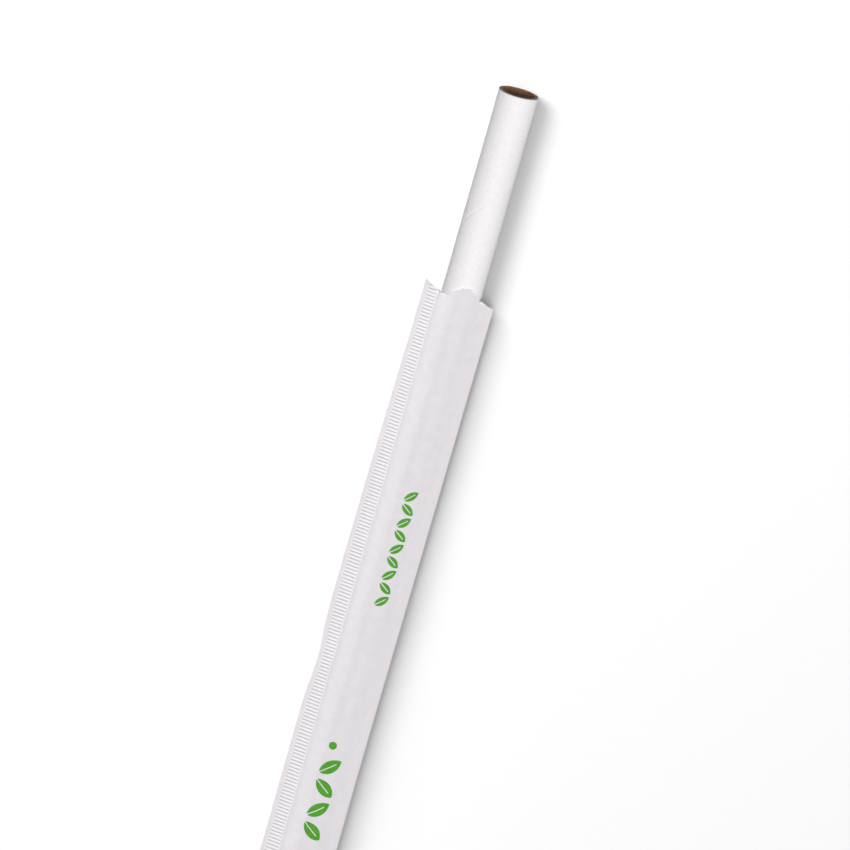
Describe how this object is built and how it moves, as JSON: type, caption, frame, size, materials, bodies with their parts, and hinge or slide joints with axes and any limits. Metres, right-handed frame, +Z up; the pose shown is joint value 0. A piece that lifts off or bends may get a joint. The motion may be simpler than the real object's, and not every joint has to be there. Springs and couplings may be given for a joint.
{
  "type": "wrapped drinking straw",
  "caption": "Paper drinking straw in a thin folded paper wrapper with a crimped edge, torn open at one end so that the straw sticks out.",
  "frame": {"origin": "middle of the part's footprint, on the surface it lies on", "axes": "+Y along the straw towards its open end, +X across the wrapper from its crimped edge to its fold, +Z up"},
  "size_m": [0.015, 0.2114, 0.0067],
  "materials": {
    "straw_paper": "smooth matt white paper with a brown inner ply",
    "wrapper_paper": "thin uncoated white tissue paper, crimped along one edge",
    "ink": "flat green print on the wrapper, plain shapes only"
  },
  "bodies": {
    "root": {"straw": "straw_paper", "wrapper": "wrapper_paper"}
  },
  "joints": []
}
